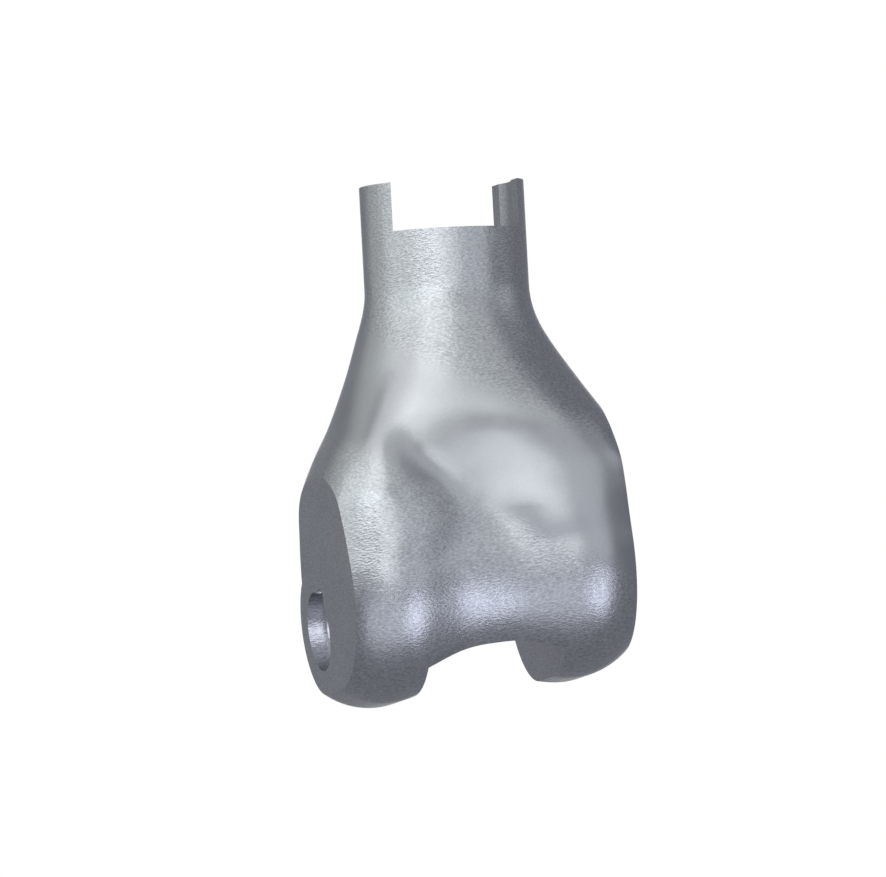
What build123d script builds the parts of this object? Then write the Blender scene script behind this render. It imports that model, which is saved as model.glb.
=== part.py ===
"""Distal femoral component of a modular hinged knee prosthesis, cast in one piece.

The origin is the middle of the hinge axis. +X runs along that axis to the lateral side,
+Y points to the back of the knee, and +Z points up the thigh.
"""

import math
import os
from typing import NamedTuple

from build123d import *

# Hinge end: two condyles with flat outer sides, and the stepped, keyed bore through them
width_across_flats = 60.5
bore_radius = 6.6
recess_radius = 8.2
recess_depth = 3.6
key_width = 5.0
key_reach = 10.3
key_depth = 2.0
key_angle = 36.0

# Condyles, seen from the side: a front arc, a short level run and a rear arc about the bore
trochlear_axis_y = -9.9
trochlear_axis_z = 9.5

# Notch between the condyles, open below and behind
notch_width = 29.8
notch_front_y = -24.8
notch_roof_z = 16.0
notch_corner_radius = 4.0

# Neck, leaning outwards from the hinge's perpendicular, with a socket for the stem
valgus_angle = 5.7
neck_radius = 17.0
neck_offset_y = -3.9
neck_start = 65.8
neck_ledge = 0.1
shoulder_height = 78.3
socket_mouth_radius = 11.0
socket_depth = 28.0
socket_half_angle = 2.86

# Lugs that stop the stem turning in the neck
lug_height = 10.1
lug_inner_x = 13.5
lug_recess_radius = 14.4

# Longer than the component is wide, for what cuts right through it
clear_through = 2 * width_across_flats


class Level(NamedTuple):
    """A level section of the flare."""

    height: float
    medial: float  # how far it reaches to each side, forward and back
    lateral: float
    front: float
    back: float
    squareness: float
    groove: float  # depth of the kneecap groove, its middle, and the reach of its two slopes
    valley: float
    medial_slope: float
    lateral_slope: float
    fullness: float


flare_levels = (
    Level(trochlear_axis_z, 35.7, 36.1, 38.3, 13.4, 3.4, 5.1, 0.2, 15.8, 15.8, 2.9),
    Level(15.0, 35.0, 36.1, 38.7, 12.9, 3.3, 6.0, -0.3, 13.0, 14.5, 2.3),
    Level(20.0, 33.8, 36.0, 39.1, 12.0, 3.3, 6.7, -2.7, 10.9, 15.8, 1.8),
    Level(25.5, 32.4, 35.6, 39.1, 11.3, 3.3, 6.7, -6.0, 10.0, 20.2, 1.8),
    Level(30.5, 30.4, 34.0, 38.1, 10.8, 3.0, 5.8, -9.7, 8.3, 22.0, 2.0),
    Level(36.0, 27.2, 32.0, 36.0, 10.7, 2.75, 4.0, -11.2, 7.4, 20.8, 2.3),
    Level(41.0, 23.6, 29.8, 32.9, 10.8, 2.6, 2.0, -10.8, 6.6, 17.5, 2.3),
    Level(51.0, 17.7, 25.9, 26.6, 12.2, 2.2, 0.0, -10.0, 6.6, 17.5, 2.3),
    Level(58.5, 13.8, 23.2, 22.9, 13.3, 2.1, 0.0, -10.0, 6.6, 17.5, 2.3),
)
level_spacing = 2.5
upright_start = 0.5
outline_points = 72


def closed_spline(points):
    """A closed spline through points, evenly paced so that the lofted levels match."""
    paces = [i / len(points) for i in range(len(points) + 1)]
    return Edge.make_spline([Vector(x, y) for x, y in points], periodic=True, parameters=paces)


def level_outline(level):
    """Points round a level: a squared ellipse with the groove in its front face."""
    half_width = (level.medial + level.lateral) / 2
    half_depth = (level.front + level.back) / 2
    middle_x = (level.lateral - level.medial) / 2
    middle_y = (level.back - level.front) / 2
    points = []
    for i in range(outline_points):
        turn = 2 * math.pi * i / outline_points
        across = math.cos(turn)
        along = (1 - abs(across) ** level.squareness) ** (1 / level.squareness)
        x = middle_x + half_width * across
        y = middle_y + math.copysign(half_depth * along, math.sin(turn))
        if y < middle_y:
            slope = level.medial_slope if x < level.valley else level.lateral_slope
            y += level.groove * math.exp(-(abs((x - level.valley) / slope) ** level.fullness))
        points.append((x, y))
    return points


def rate(index):
    """How fast each measure of the flare changes with height at a level; the lowest starts upright."""
    if index == 0:
        return [0.0] * len(flare_levels[0])
    below = flare_levels[index - 1]
    above = flare_levels[min(index + 1, len(flare_levels) - 1)]
    return [(high - low) / (above.height - below.height) for low, high in zip(below, above)]


def blended_level(height):
    """The level at a height, blended smoothly from the levels on either side of it."""
    index = max(i for i, level in enumerate(flare_levels[:-1]) if level.height <= height)
    below, above = flare_levels[index], flare_levels[index + 1]
    span = above.height - below.height
    rise = (height - below.height) / span
    share = rise * rise * (3 - 2 * rise)
    ease_out = span * rise * (1 - rise) ** 2
    ease_in = span * rise * rise * (1 - rise)
    measures = [
        low + (high - low) * share + low_rate * ease_out - high_rate * ease_in
        for low, high, low_rate, high_rate in zip(below, above, rate(index), rate(index + 1))
    ]
    return Level(*measures)


def condyle_profile(plane, clearance=0.0):
    """The front half of the lowest section, as a face that starts clear of the plane's X axis."""
    with BuildSketch(plane) as profile:
        with BuildLine():
            outline = level_outline(flare_levels[0])
            add(closed_spline([(x, y - trochlear_axis_y) for x, y in outline]))
        make_face()
        with Locations((0, -clearance)):
            Rectangle(clear_through, clear_through, align=(Align.CENTER, Align.MAX), mode=Mode.INTERSECT)
    return profile.sketch


neck_axis = Vector(0, 0, 1).rotate(Axis.Y, valgus_angle)
neck_foot = Vector(0, neck_offset_y, 0)
neck_x = Vector(1, 0, 0).rotate(Axis.Y, valgus_angle)


def neck_plane(distance):
    """The plane across the neck at a distance up its axis from the hinge."""
    return Plane(origin=neck_foot + neck_axis * distance, x_dir=neck_x, z_dir=neck_axis)


flare_end = neck_start
flare_end_radius = neck_radius + neck_ledge
flare_end_level = Level(flare_end, *4 * [flare_end_radius], 2.0, 0.0, 0.0, 1.0, 1.0, 2.0)

hinge_axis = Axis((0, 0, 0), (1, 0, 0))
trochlear_axis = Axis((0, trochlear_axis_y, trochlear_axis_z), (1, 0, 0))
trochlear_plane = Plane(origin=trochlear_axis.position, x_dir=(1, 0, 0), z_dir=(0, 0, 1))
upright_plane = Plane(origin=trochlear_axis.position, x_dir=(1, 0, 0), z_dir=(0, -1, 0))
hinge_upright_plane = Plane(origin=(0, 0, trochlear_axis_z), x_dir=(1, 0, 0), z_dir=(0, -1, 0))

with BuildPart() as femoral:
    # Flare, lofted from the widest level up into the neck
    flare_top = flare_levels[-1].height
    steps = round((flare_top - trochlear_axis_z) / level_spacing)
    heights = [trochlear_axis_z + (flare_top - trochlear_axis_z) * i / steps for i in range(steps + 1)]
    for height in [heights[0], heights[0] + upright_start] + heights[1:]:
        with BuildSketch(Plane.XY.offset(height)):
            with BuildLine():
                add(closed_spline(level_outline(blended_level(height))))
            make_face()
    with BuildSketch(neck_plane(flare_end)):
        with BuildLine():
            add(closed_spline(level_outline(flare_end_level)))
        make_face()
    loft()

    # Condyles: the lowest section turned down round the front, run back and turned up behind
    revolve(condyle_profile(trochlear_plane), axis=trochlear_axis, revolution_arc=90)
    extrude(condyle_profile(upright_plane), amount=trochlear_axis_y)
    revolve(condyle_profile(hinge_upright_plane, trochlear_axis_z), axis=hinge_axis)

    # Flat outer sides
    for side, kept in ((1, Keep.BOTTOM), (-1, Keep.TOP)):
        split(bisect_by=Plane.YZ.offset(side * width_across_flats / 2), keep=kept)

    # Neck, up to the tips of the lugs
    with BuildSketch(neck_plane(neck_start)):
        Circle(neck_radius)
    extrude(amount=shoulder_height + lug_height - neck_start)

    # Slot between the lugs, and the round register that hollows their inner faces
    with BuildSketch(neck_plane(shoulder_height)):
        Rectangle(2 * lug_inner_x, 3 * neck_radius)
        Circle(lug_recess_radius)
    extrude(amount=2 * lug_height, mode=Mode.SUBTRACT)

    # Tapered socket for the stem
    with BuildSketch(neck_plane(shoulder_height)):
        Circle(socket_mouth_radius)
    extrude(amount=-socket_depth, taper=socket_half_angle, mode=Mode.SUBTRACT)

    # Notch between the condyles
    with BuildSketch(Plane.YZ.offset(-notch_width / 2)):
        with Locations((notch_front_y, notch_roof_z)):
            Rectangle(clear_through, clear_through, align=(Align.MIN, Align.MAX))
        fillet(faces().vertices().group_by(Axis.Z)[-1].sort_by(Axis.Y)[0], notch_corner_radius)
    extrude(amount=notch_width, mode=Mode.SUBTRACT)

    # Hinge bore, with a recess in each side for a bush and a keyway in each recess
    with BuildSketch(Plane.YZ):
        Circle(bore_radius)
    extrude(amount=width_across_flats, both=True, mode=Mode.SUBTRACT)
    for side in (1, -1):
        recess_plane = Plane.YZ.offset(side * (width_across_flats / 2 - recess_depth))
        with BuildSketch(recess_plane):
            Circle(recess_radius)
        extrude(amount=side * clear_through, mode=Mode.SUBTRACT)
        keyway_plane = Plane.YZ.offset(side * (width_across_flats / 2 - key_depth))
        with BuildSketch(keyway_plane):
            with Locations(Rotation(0, 0, 90 + key_angle)):
                with Locations((key_reach - key_width / 2, 0)):
                    Circle(key_width / 2)
                Rectangle(key_reach - key_width / 2, key_width, align=(Align.MIN, Align.CENTER))
        extrude(amount=side * clear_through, mode=Mode.SUBTRACT)

femoral.part.label = "distal_femoral_component"
os.makedirs("parts", exist_ok=True)
export_step(femoral.part, "parts/distal_femoral_component.step")
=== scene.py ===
import math

import bmesh
import bpy
import numpy as np
from mathutils import Matrix, Vector
from mathutils.bvhtree import BVHTree


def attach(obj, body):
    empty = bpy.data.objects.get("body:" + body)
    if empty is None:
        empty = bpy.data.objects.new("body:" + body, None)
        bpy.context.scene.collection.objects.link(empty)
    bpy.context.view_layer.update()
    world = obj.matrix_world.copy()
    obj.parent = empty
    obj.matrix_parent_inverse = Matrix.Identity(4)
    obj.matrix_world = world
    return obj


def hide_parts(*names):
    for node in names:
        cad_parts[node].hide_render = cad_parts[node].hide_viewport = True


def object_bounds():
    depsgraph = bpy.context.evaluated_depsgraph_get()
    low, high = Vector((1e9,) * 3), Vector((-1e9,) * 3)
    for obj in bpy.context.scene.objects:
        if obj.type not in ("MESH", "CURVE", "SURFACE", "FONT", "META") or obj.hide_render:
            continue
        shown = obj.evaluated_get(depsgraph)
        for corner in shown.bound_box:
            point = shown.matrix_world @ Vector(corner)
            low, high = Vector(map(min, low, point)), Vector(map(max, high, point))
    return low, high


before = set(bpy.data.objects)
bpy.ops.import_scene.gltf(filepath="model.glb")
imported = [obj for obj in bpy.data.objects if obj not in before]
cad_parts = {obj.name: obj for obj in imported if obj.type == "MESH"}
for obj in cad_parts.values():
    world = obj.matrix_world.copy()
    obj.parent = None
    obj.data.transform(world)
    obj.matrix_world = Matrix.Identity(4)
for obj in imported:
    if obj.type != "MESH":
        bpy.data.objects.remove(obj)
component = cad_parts["distal_femoral_component"]
cad_low, cad_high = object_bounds()

# Camera: a parallel view from the front and the medial side, a little below the horizon
VIEW_RIGHT = Vector((0.9566, -0.2504, -0.1492))
VIEW_UP = Vector((0.1319, -0.0845, 0.9877))
VIEW_CENTRE = Vector((-0.000524, -0.009776, 0.035613))
VIEW_WIDTH = 0.18278
VIEW_DISTANCE = 0.6

view_back = VIEW_RIGHT.cross(VIEW_UP).normalized()
camera_data = bpy.data.cameras.new("camera")
camera_data.type = "ORTHO"
camera_data.ortho_scale = VIEW_WIDTH
camera_data.clip_start = 0.01
camera_data.clip_end = 5.0
camera = bpy.data.objects.new("camera", camera_data)
bpy.context.collection.objects.link(camera)
facing = Matrix((VIEW_RIGHT, VIEW_UP, view_back)).transposed().to_4x4()
camera.matrix_world = Matrix.Translation(VIEW_CENTRE + view_back * VIEW_DISTANCE) @ facing
bpy.context.scene.camera = camera
bpy.context.scene.view_settings.view_transform = "Standard"


def view_direction(azimuth, elevation):
    """The direction to a point seen from the object: azimuth is to the camera's right, in degrees."""
    across, rise = math.radians(azimuth), math.radians(elevation)
    level = VIEW_RIGHT * math.sin(across) + view_back * math.cos(across)
    return level * math.cos(rise) + VIEW_UP * math.sin(rise)


def add_softbox(name, azimuth, elevation, width, height, brightness, colour):
    """A soft light a metre off, facing the middle of the view; brightness is what a mirror would show."""
    data = bpy.data.lights.new(name, "AREA")
    data.shape = "RECTANGLE"
    data.size, data.size_y = width, height
    data.energy = math.pi * width * height * brightness
    data.color = colour
    softbox = bpy.data.objects.new(name, data)
    bpy.context.collection.objects.link(softbox)
    away = view_direction(azimuth, elevation)
    side = VIEW_UP.cross(away).normalized()
    softbox.matrix_world = (
        Matrix.Translation(VIEW_CENTRE + away)
        @ Matrix((side, away.cross(side), away)).transposed().to_4x4()
    )
    return softbox


add_softbox("key_light", -18, 43, 0.6, 0.8, 1.3, (0.97, 1.0, 0.98))
add_softbox("low_key_light", -25, 15, 0.7, 0.4, 2.1, (0.95, 0.99, 1.0))
add_softbox("front_light", 8, 6, 0.5, 0.62, 1.32, (0.95, 0.98, 1.0))
add_softbox("low_front_light", -2, -7, 0.35, 0.25, 0.65, (0.95, 0.98, 1.0))
add_softbox("right_light", 45, 14, 0.7, 0.85, 0.64, (0.93, 0.96, 1.0))
add_softbox("right_rear_light", 92, 28, 0.5, 0.5, 0.5, (0.93, 0.96, 1.0))
add_softbox("left_light", -69, 20, 0.95, 1.0, 1.14, (0.95, 1.0, 0.98))
add_softbox("left_rear_light", -112, 20, 0.7, 1.2, 0.45, (0.96, 1.0, 0.93))
add_softbox("lower_right_light", 50, -34, 0.5, 0.55, 2.15, (0.82, 0.84, 1.0))
add_softbox("lower_front_light", -4, -44, 1.0, 0.82, 0.8, (0.86, 0.88, 1.0))
add_softbox("top_left_light", -60, 62, 0.7, 0.7, 1.0, (0.99, 1.0, 0.99))
add_softbox("top_light", 34, 60, 0.8, 0.7, 0.6, (0.96, 1.0, 1.0))

# A small light in the bore, so that its wall shows
BORE_LIGHT_PLACE = (-0.0225, -0.0053, 0.0)
bore_light = add_softbox("bore_light", 0, 0, 0.014, 0.008, 2.5, (0.85, 0.86, 1.0))
face_back = Matrix.Rotation(math.radians(90), 4, "X")
bore_light.matrix_world = Matrix.Translation(BORE_LIGHT_PLACE) @ face_back
bore_light.visible_camera = False

# World: white background, with a dim studio room round the object that is open behind it
world = bpy.data.worlds.new("studio")
bpy.context.scene.world = world
world.use_nodes = True
nodes = world.node_tree.nodes
links = world.node_tree.links
nodes.clear()
output = nodes.new("ShaderNodeOutputWorld")
mix = nodes.new("ShaderNodeMixShader")
path = nodes.new("ShaderNodeLightPath")
seen = nodes.new("ShaderNodeMath")
seen.operation = "ADD"
seen_through = nodes.new("ShaderNodeMath")
seen_through.operation = "ADD"
seen_through.use_clamp = True
dim = nodes.new("ShaderNodeBackground")
white = nodes.new("ShaderNodeBackground")
dim.inputs["Color"].default_value = (0.33, 0.34, 0.36, 1.0)
white.inputs["Color"].default_value = (1.0, 1.0, 1.0, 1.0)
links.new(path.outputs["Is Camera Ray"], seen.inputs[0])
links.new(path.outputs["Is Glossy Ray"], seen.inputs[1])
links.new(seen.outputs["Value"], seen_through.inputs[0])
links.new(path.outputs["Is Transmission Ray"], seen_through.inputs[1])
links.new(seen_through.outputs["Value"], mix.inputs["Fac"])
links.new(dim.outputs["Background"], mix.inputs[1])
links.new(white.outputs["Background"], mix.inputs[2])
links.new(mix.outputs["Shader"], output.inputs["Surface"])

ROOM_HALF_WIDTH = 1.3
ROOM_FRONT = 1.6
ROOM_REAR = -6.0
room_mesh = bpy.data.meshes.new("studio_room")
room_corners = [
    VIEW_CENTRE + VIEW_RIGHT * x * ROOM_HALF_WIDTH + VIEW_UP * y * ROOM_HALF_WIDTH + view_back * z
    for z in (ROOM_FRONT, ROOM_REAR)
    for x, y in ((-1, -1), (1, -1), (1, 1), (-1, 1))
]
room_walls = [(0, 1, 2, 3)] + [(i, i + 4, (i + 1) % 4 + 4, (i + 1) % 4) for i in range(4)]
room_mesh.from_pydata(room_corners, [], room_walls)
room = bpy.data.objects.new("studio_room", room_mesh)
bpy.context.collection.objects.link(room)
room.visible_camera = False
room.visible_shadow = False
room_paint = bpy.data.materials.new("studio_room")
room_paint.use_nodes = True
nodes = room_paint.node_tree.nodes
links = room_paint.node_tree.links
nodes.remove(nodes["Principled BSDF"])
glow = nodes.new("ShaderNodeEmission")
glow.inputs["Color"].default_value = (0.27, 0.28, 0.31, 1.0)
links.new(glow.outputs["Emission"], nodes["Material Output"].inputs["Surface"])
room_mesh.materials.append(room_paint)

# Cast metal: a fine streaky grain, fading over a smoother band that crosses the front and falls
# to the lateral side
GRAIN_DENSITY = (1300.0, 1300.0, 3300.0)
GRAIN_DEPTH = 0.000068
BAND_SLANT = (0.518, -0.181, 0.836)
BAND_MIDDLE = 0.0332
BAND_CORE = 0.0095
BAND_EDGE = 0.0135
metal = bpy.data.materials.new("cast_alloy")
metal.use_nodes = True
nodes = metal.node_tree.nodes
links = metal.node_tree.links
surface = nodes["Principled BSDF"]
surface.inputs["Metallic"].default_value = 1.0
place = nodes.new("ShaderNodeTexCoord")

grain_stretch = nodes.new("ShaderNodeMapping")
grain_stretch.inputs["Scale"].default_value = GRAIN_DENSITY
grain = nodes.new("ShaderNodeTexNoise")
grain.inputs["Scale"].default_value = 1.0
grain.inputs["Detail"].default_value = 2.0
links.new(place.outputs["Object"], grain_stretch.inputs["Vector"])
links.new(grain_stretch.outputs["Vector"], grain.inputs["Vector"])

across_band = nodes.new("ShaderNodeVectorMath")
across_band.operation = "DOT_PRODUCT"
across_band.inputs[1].default_value = BAND_SLANT
band_offset = nodes.new("ShaderNodeMath")
band_offset.operation = "SUBTRACT"
band_offset.inputs[1].default_value = BAND_MIDDLE
band_distance = nodes.new("ShaderNodeMath")
band_distance.operation = "ABSOLUTE"
grain_strength = nodes.new("ShaderNodeMapRange")
grain_strength.inputs["From Min"].default_value = BAND_CORE
grain_strength.inputs["From Max"].default_value = BAND_EDGE
grain_strength.inputs["To Min"].default_value = 0.15
grain_strength.inputs["To Max"].default_value = 1.0
links.new(place.outputs["Object"], across_band.inputs[0])
links.new(across_band.outputs["Value"], band_offset.inputs[0])
links.new(band_offset.outputs["Value"], band_distance.inputs[0])
links.new(band_distance.outputs["Value"], grain_strength.inputs["Value"])

bump = nodes.new("ShaderNodeBump")
bump.inputs["Distance"].default_value = GRAIN_DEPTH
links.new(grain.outputs["Fac"], bump.inputs["Height"])
links.new(grain_strength.outputs["Result"], bump.inputs["Strength"])
links.new(bump.outputs["Normal"], surface.inputs["Normal"])

patches = nodes.new("ShaderNodeTexNoise")
patches.inputs["Scale"].default_value = 110.0
patches.inputs["Detail"].default_value = 3.0
polish = nodes.new("ShaderNodeMapRange")
polish.inputs["From Min"].default_value = 0.3
polish.inputs["From Max"].default_value = 0.7
polish.inputs["To Min"].default_value = 0.29
polish.inputs["To Max"].default_value = 0.36
links.new(place.outputs["Object"], patches.inputs["Vector"])
links.new(patches.outputs["Fac"], polish.inputs["Value"])
links.new(polish.outputs["Result"], surface.inputs["Roughness"])

shade = nodes.new("ShaderNodeMix")
shade.inputs["A"].default_value = 0.5
tint = nodes.new("ShaderNodeValToRGB")
tint.color_ramp.elements[0].position = 0.25
tint.color_ramp.elements[0].color = (0.31, 0.32, 0.33, 1.0)
tint.color_ramp.elements[1].position = 0.75
tint.color_ramp.elements[1].color = (0.53, 0.54, 0.56, 1.0)
links.new(grain_strength.outputs["Result"], shade.inputs["Factor"])
links.new(grain.outputs["Fac"], shade.inputs["B"])
links.new(shade.outputs["Result"], tint.inputs["Fac"])
links.new(tint.outputs["Color"], surface.inputs["Base Color"])

# The component's skin: the CAD mesh, made finer and evened on the front and under the neck
CLEAR_OF_SKIN = 0.06
MERGE_DISTANCE = 0.000002

# Swellings on the front that even out the groove's medial slope and the lateral face
FRONT_SKIN = -0.027
FRONT_FACING = -0.3
LEAST_SWELLING = 0.000004
SWELLING_EDGE = 0.0008
SWELLING_ROUNDS = 6
SWELLINGS = (
    {"x": 0.0113, "z": 0.0133, "across": 0.0042, "upward": 0.0035, "rise": 0.00028},
    {"x": 0.0125, "z": 0.0165, "across": 0.0085, "upward": 0.0055, "rise": 0.0003},
    {"x": -0.0043, "z": 0.0225, "across": 0.005, "upward": 0.008, "rise": 0.0007},
    {"x": -0.0098, "z": 0.0295, "across": 0.0045, "upward": 0.0045, "rise": 0.0003},
)

# The join of flare and neck; its heights are measured up the neck from the hinge
NECK_LEAN = math.radians(5.7)
NECK_FOOT = Vector((0.0, -0.0039, 0.0))
NECK_RADIUS = 0.017
SOCKET_CLEAR = 0.013
JOIN_LOW = 0.056
JOIN_HIGH = 0.0668
JOIN_BLEND = 0.0022
JOIN_EDGE = 0.0009
JOIN_ROUNDS = 7
JOIN_SAMPLES = 128
JOIN_WAVES = 10
CORNER_SOFTNESS = 0.0003
SLOPE_RUN = 0.002
HEIGHT_STEP = 0.0002
TURN_STEP = 0.01
neck_up = Vector((math.sin(NECK_LEAN), 0.0, math.cos(NECK_LEAN)))
neck_right = Vector((math.cos(NECK_LEAN), 0.0, -math.sin(NECK_LEAN)))
neck_back = Vector((0.0, 1.0, 0.0))


def refine(inside, longest, rounds):
    """Halve the long edges that touch a region, again and again until its mesh is fine."""
    for _ in range(rounds):
        coarse = [
            edge for edge in shape.edges
            if edge.calc_length() > longest and any(inside(vertex.co) for vertex in edge.verts)
        ]
        if not coarse:
            break
        bmesh.ops.subdivide_edges(shape, edges=coarse, cuts=1)
        bmesh.ops.triangulate(shape, faces=[face for face in shape.faces if len(face.verts) > 3])


def swelling(point):
    """How far the skin comes forward at a point, and its slopes across and upward."""
    rise = slope_x = slope_z = 0.0
    for spot in SWELLINGS:
        across = (point.x - spot["x"]) / spot["across"]
        upward = (point.z - spot["z"]) / spot["upward"]
        here = spot["rise"] * math.exp(-(across * across + upward * upward) / 2)
        rise += here
        slope_x -= here * across / spot["across"]
        slope_z -= here * upward / spot["upward"]
    return rise, slope_x, slope_z


def in_swelling(point):
    """Whether a point is on the front skin where it swells enough to see."""
    return point.y < FRONT_SKIN and swelling(point)[0] > LEAST_SWELLING


def swell(vertex):
    """Bring a vertex of the front skin forward, no further than the CAD reaches, and tilt its normals."""
    rise, slope_x, slope_z = swelling(vertex.co)
    vertex.co.y = max(vertex.co.y - rise, cad_low[1])
    for corner in vertex.link_loops:
        normal = corner[skin_normal]
        if normal.y < FRONT_FACING:
            tilt = Vector((normal.y * slope_x, 0.0, normal.y * slope_z))
            corner[skin_normal] = (normal + tilt).normalized()


def neck_measures(point):
    """A point's height up the neck, its distance from the neck's axis and its turn round it."""
    from_foot = point - NECK_FOOT
    right, back = from_foot.dot(neck_right), from_foot.dot(neck_back)
    return from_foot.dot(neck_up), math.hypot(right, back), math.atan2(back, right)


def neck_point(height, radius, turn):
    """The point with these measures."""
    outward = neck_right * math.cos(turn) + neck_back * math.sin(turn)
    return NECK_FOOT + neck_up * height + outward * radius


def in_join(point):
    """Whether a point is on the skin between the join's two ends."""
    height, radius, _ = neck_measures(point)
    return JOIN_LOW <= height <= JOIN_HIGH and radius > SOCKET_CLEAR


def skin_radii(height):
    """How far the CAD skin is from the neck's axis, all the way round at a height."""
    radii = []
    for i in range(JOIN_SAMPLES):
        turn = 2 * math.pi * i / JOIN_SAMPLES
        outside = neck_point(height, CLEAR_OF_SKIN, turn)
        inward = neck_point(height, 0.0, turn) - outside
        radii.append(CLEAR_OF_SKIN - tree.ray_cast(outside, inward)[3])
    return np.array(radii)


def smooth_waves(values):
    """The broad waves of a row of values round the neck, without its fine ones."""
    return np.fft.rfft(values)[:JOIN_WAVES] / len(values)


def wave_value(waves, turn):
    """The value of these waves at a turn round the neck."""
    value = waves[0].real
    for order in range(1, len(waves)):
        value += 2 * (waves[order] * complex(math.cos(order * turn), math.sin(order * turn))).real
    return value


def join_radius(height, turn):
    """Radius of the smooth join: it leaves the flare along its slope and runs up into the neck."""
    span = JOIN_HIGH - JOIN_LOW
    rise = min(max((height - JOIN_LOW) / span, 0.0), 1.0)
    left = 1 - rise
    start, slope = wave_value(start_waves, turn), wave_value(slope_waves, turn)
    excess = (start - NECK_RADIUS) * (1 + 2 * rise) * left * left + span * slope * rise * left * left
    return NECK_RADIUS + (excess + math.hypot(excess, CORNER_SOFTNESS * left)) / 2


def smooth_join(vertex):
    """Move a vertex onto the smooth join, and turn its normals to match."""
    height, radius, turn = neck_measures(vertex.co)
    share = min((height - JOIN_LOW) / JOIN_BLEND, 1.0)
    share = share * share * (3 - 2 * share)
    new_radius = join_radius(height, turn)
    higher, lower = join_radius(height + HEIGHT_STEP, turn), join_radius(height - HEIGHT_STEP, turn)
    onward, before = join_radius(height, turn + TURN_STEP), join_radius(height, turn - TURN_STEP)
    rise_slope = (higher - lower) / (2 * HEIGHT_STEP)
    turn_slope = (onward - before) / (2 * TURN_STEP) / new_radius
    outward = neck_right * math.cos(turn) + neck_back * math.sin(turn)
    around = neck_back * math.cos(turn) - neck_right * math.sin(turn)
    join_normal = (outward - around * turn_slope - neck_up * rise_slope).normalized()
    vertex.co = neck_point(height, radius + (new_radius - radius) * share, turn)
    for corner in vertex.link_loops:
        corner[skin_normal] = corner[skin_normal].lerp(join_normal, share)


shape = bmesh.new()
shape.from_mesh(component.data)
skin_normal = shape.loops.layers.float_vector.new("skin_normal")
corner_normals = [corner.vector.copy() for corner in component.data.corner_normals]
for face in shape.faces:
    for corner in face.loops:
        corner[skin_normal] = corner_normals[corner.index]
tree = BVHTree.FromBMesh(shape)
start_radii = skin_radii(JOIN_LOW)
start_waves = smooth_waves(start_radii)
slope_waves = smooth_waves((start_radii - skin_radii(JOIN_LOW - SLOPE_RUN)) / SLOPE_RUN)

refine(in_swelling, SWELLING_EDGE, SWELLING_ROUNDS)
for vertex in shape.verts:
    if vertex.co.y < FRONT_SKIN:
        swell(vertex)
refine(in_join, JOIN_EDGE, JOIN_ROUNDS)
for vertex in shape.verts:
    if in_join(vertex.co):
        smooth_join(vertex)
join_vertices = [vertex for vertex in shape.verts if in_join(vertex.co)]
bmesh.ops.remove_doubles(shape, verts=join_vertices, dist=MERGE_DISTANCE)
bmesh.ops.dissolve_degenerate(shape, edges=shape.edges[:], dist=MERGE_DISTANCE)

skin_mesh = bpy.data.meshes.new("femoral_component")
shape.to_mesh(skin_mesh)
shape.free()
kept_normals = skin_mesh.attributes["skin_normal"]
skin_normals = [Vector(value.vector).normalized() for value in kept_normals.data]
skin_mesh.attributes.remove(kept_normals)
for polygon in skin_mesh.polygons:
    polygon.use_smooth = True
skin_mesh.normals_split_custom_set(skin_normals)
skin_mesh.materials.clear()
skin_mesh.materials.append(metal)
skin = bpy.data.objects.new("femoral_component", skin_mesh)
bpy.context.collection.objects.link(skin)
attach(skin, "root")
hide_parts("distal_femoral_component")

# Floor: it takes the shadow, fades out away from the object and is clear from below
FLOOR_REACH = 0.2
FADE_START = 0.06
FADE_END = 0.17
floor_mesh = bpy.data.meshes.new("floor")
corners = ((-1, -1), (1, -1), (1, 1), (-1, 1))
floor_corners = [(x * FLOOR_REACH, y * FLOOR_REACH, cad_low[2]) for x, y in corners]
floor_mesh.from_pydata(floor_corners, [], [(0, 1, 2, 3)])
floor = bpy.data.objects.new("floor", floor_mesh)
bpy.context.collection.objects.link(floor)
floor_paint = bpy.data.materials.new("floor")
floor_paint.use_nodes = True
nodes = floor_paint.node_tree.nodes
links = floor_paint.node_tree.links
floor_surface = nodes["Principled BSDF"]
floor_surface.inputs["Base Color"].default_value = (0.9, 0.9, 0.9, 1.0)
floor_surface.inputs["Roughness"].default_value = 0.9
clear = nodes.new("ShaderNodeBsdfTransparent")
side = nodes.new("ShaderNodeNewGeometry")
floor_place = nodes.new("ShaderNodeTexCoord")
distance = nodes.new("ShaderNodeVectorMath")
distance.operation = "LENGTH"
fade = nodes.new("ShaderNodeMapRange")
fade.inputs["From Min"].default_value = FADE_START
fade.inputs["From Max"].default_value = FADE_END
clearness = nodes.new("ShaderNodeMath")
clearness.operation = "MAXIMUM"
blend = nodes.new("ShaderNodeMixShader")
links.new(floor_place.outputs["Object"], distance.inputs[0])
links.new(distance.outputs["Value"], fade.inputs["Value"])
links.new(fade.outputs["Result"], clearness.inputs[0])
links.new(side.outputs["Backfacing"], clearness.inputs[1])
links.new(clearness.outputs["Value"], blend.inputs["Fac"])
links.new(floor_surface.outputs["BSDF"], blend.inputs[1])
links.new(clear.outputs["BSDF"], blend.inputs[2])
links.new(blend.outputs["Shader"], nodes["Material Output"].inputs["Surface"])
floor_mesh.materials.append(floor_paint)
floor.visible_glossy = False
floor.visible_diffuse = False
floor.visible_shadow = False
